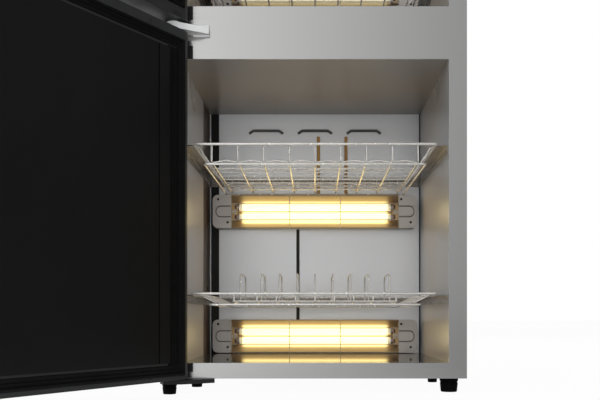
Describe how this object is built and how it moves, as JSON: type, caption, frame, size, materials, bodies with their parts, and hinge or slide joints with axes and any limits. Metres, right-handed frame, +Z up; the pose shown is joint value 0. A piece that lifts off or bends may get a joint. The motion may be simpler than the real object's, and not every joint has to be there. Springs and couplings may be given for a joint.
{
  "type": "dish sterilizer cabinet",
  "caption": "Free-standing dish sterilizer cabinet with two heated compartments, left-hung doors and pull-out wire racks for plates and bowls.",
  "frame": {"origin": "on the floor, midway across the width, in the plane of the front frame's face", "axes": "+Z up, +Y from the front to the back, +X to the right of someone facing the front"},
  "size_m": [0.6354, 0.7326, 0.95],
  "materials": {
    "steel_frame": "vertical brushed, satin",
    "case_paint": "semi-gloss charcoal paint",
    "galvanised": "matt zinc grey",
    "lid_plastic": "moulded, satin",
    "liner_steel": "bright, mirror-like stainless",
    "foot_rubber": "matt moulded",
    "bracket_steel": "bright, bare",
    "black_steel": "black paint",
    "pin_steel": "turned, bright",
    "nylon": "natural nylon",
    "head_plastic": "black, glossy",
    "window_plastic": "smoked, polished",
    "board": "glass-fibre board",
    "reflector": "gold anodised, bright",
    "quartz": "clear quartz, warm from the lit coil",
    "cap_metal": "grey enamel",
    "ceramic": "white ceramic",
    "guard_wire": "bright wire",
    "sleeve": "woven glass sleeve",
    "rack_wire": "polished chrome wire",
    "rail_steel": "stainless",
    "sensor": "black",
    "door_shell": "dark grey, satin",
    "door_glass": "black backed, polished",
    "door_panel": "black, satin",
    "seal_rubber": "black, soft",
    "handle_metal": "satin",
    "key_metal": "satin"
  },
  "bodies": {
    "cabinet": {"front_frame": "steel_frame", "side_panel_left": "case_paint", "side_panel_right": "case_paint", "back_cover": "galvanised", "base_pan": "galvanised", "top_cover": "lid_plastic", "lower_liner_back": "liner_steel", "lower_liner_sides": "liner_steel", "lower_liner_floor_ceiling": "liner_steel", "upper_liner_back": "liner_steel", "upper_liner_sides": "liner_steel", "upper_liner_floor_ceiling": "liner_steel", "feet": "foot_rubber", "hinge_bracket_middle": "bracket_steel", "hinge_plate_top": "black_steel", "hinge_plate_bottom": "black_steel", "hinge_pins": "pin_steel", "hinge_washers": "nylon", "control_head": "head_plastic", "control_window": "window_plastic", "control_board": "board", "heater_lower_tray": "reflector", "heater_lower_tubes": "quartz", "heater_middle_tray": "reflector", "heater_middle_tubes": "quartz", "heater_upper_tray": "reflector", "heater_upper_tubes": "quartz", "heater_end_caps": "cap_metal", "heater_tube_holders": "ceramic", "heater_guards": "guard_wire", "heater_lead_sleeves": "sleeve", "vent_hoods": "liner_steel", "rack_rails": "rail_steel", "thermostats": "sensor", "terminal_box": "sensor", "cord_gland": "sensor"},
    "lower_door": {"lower_door_frame": "door_shell", "lower_door_glass": "door_glass", "lower_door_inner_panel": "door_panel", "lower_door_gasket": "seal_rubber", "lower_door_handle": "handle_metal"},
    "upper_door": {"upper_door_frame": "door_shell", "upper_door_glass": "door_glass", "upper_door_inner_panel": "door_panel", "upper_door_gasket": "seal_rubber", "upper_door_handle": "handle_metal"},
    "plate_rack": {"plate_rack_rims": "rack_wire", "plate_rack_grid": "rack_wire", "plate_rack_dividers": "rack_wire"},
    "bowl_rack": {"bowl_rack_rims": "rack_wire", "bowl_rack_grid": "rack_wire", "bowl_rack_dividers": "rack_wire"},
    "upper_rack": {"upper_rack_rims": "rack_wire", "upper_rack_grid": "rack_wire", "upper_rack_dividers": "rack_wire"},
    "button_power": {"button_power": "key_metal"},
    "button_upper": {"button_upper": "key_metal"},
    "button_lower": {"button_lower": "key_metal"}
  },
  "joints": [
    {"name": "lower_door_hinge", "type": "hinge", "parent": "cabinet", "child": "lower_door", "pos_m": [-0.1915, -0.0215, 0.02], "axis": [0, 0, -1], "range_deg": [-120.7, 15]},
    {"name": "upper_door_hinge", "type": "hinge", "parent": "cabinet", "child": "upper_door", "pos_m": [-0.1915, -0.0215, 0.5025], "axis": [0, 0, -1], "range_deg": [-120.7, 15]},
    {"name": "plate_rack_slide", "type": "slide", "parent": "cabinet", "child": "plate_rack", "axis": [0, -1, 0], "range_m": [0, 0.25]},
    {"name": "bowl_rack_slide", "type": "slide", "parent": "cabinet", "child": "bowl_rack", "axis": [0, -1, 0], "range_m": [0, 0.25]},
    {"name": "upper_rack_slide", "type": "slide", "parent": "cabinet", "child": "upper_rack", "axis": [0, -1, 0], "range_m": [0, 0.25]},
    {"name": "button_power_press", "type": "slide", "parent": "cabinet", "child": "button_power", "axis": [0, 1, 0], "range_m": [0, 0.0015], "stiffness_N_per_m": 400, "springref_m": -0.0005},
    {"name": "button_upper_press", "type": "slide", "parent": "cabinet", "child": "button_upper", "axis": [0, 1, 0], "range_m": [0, 0.0015], "stiffness_N_per_m": 400, "springref_m": -0.0005},
    {"name": "button_lower_press", "type": "slide", "parent": "cabinet", "child": "button_lower", "axis": [0, 1, 0], "range_m": [0, 0.0015], "stiffness_N_per_m": 400, "springref_m": -0.0005}
  ]
}
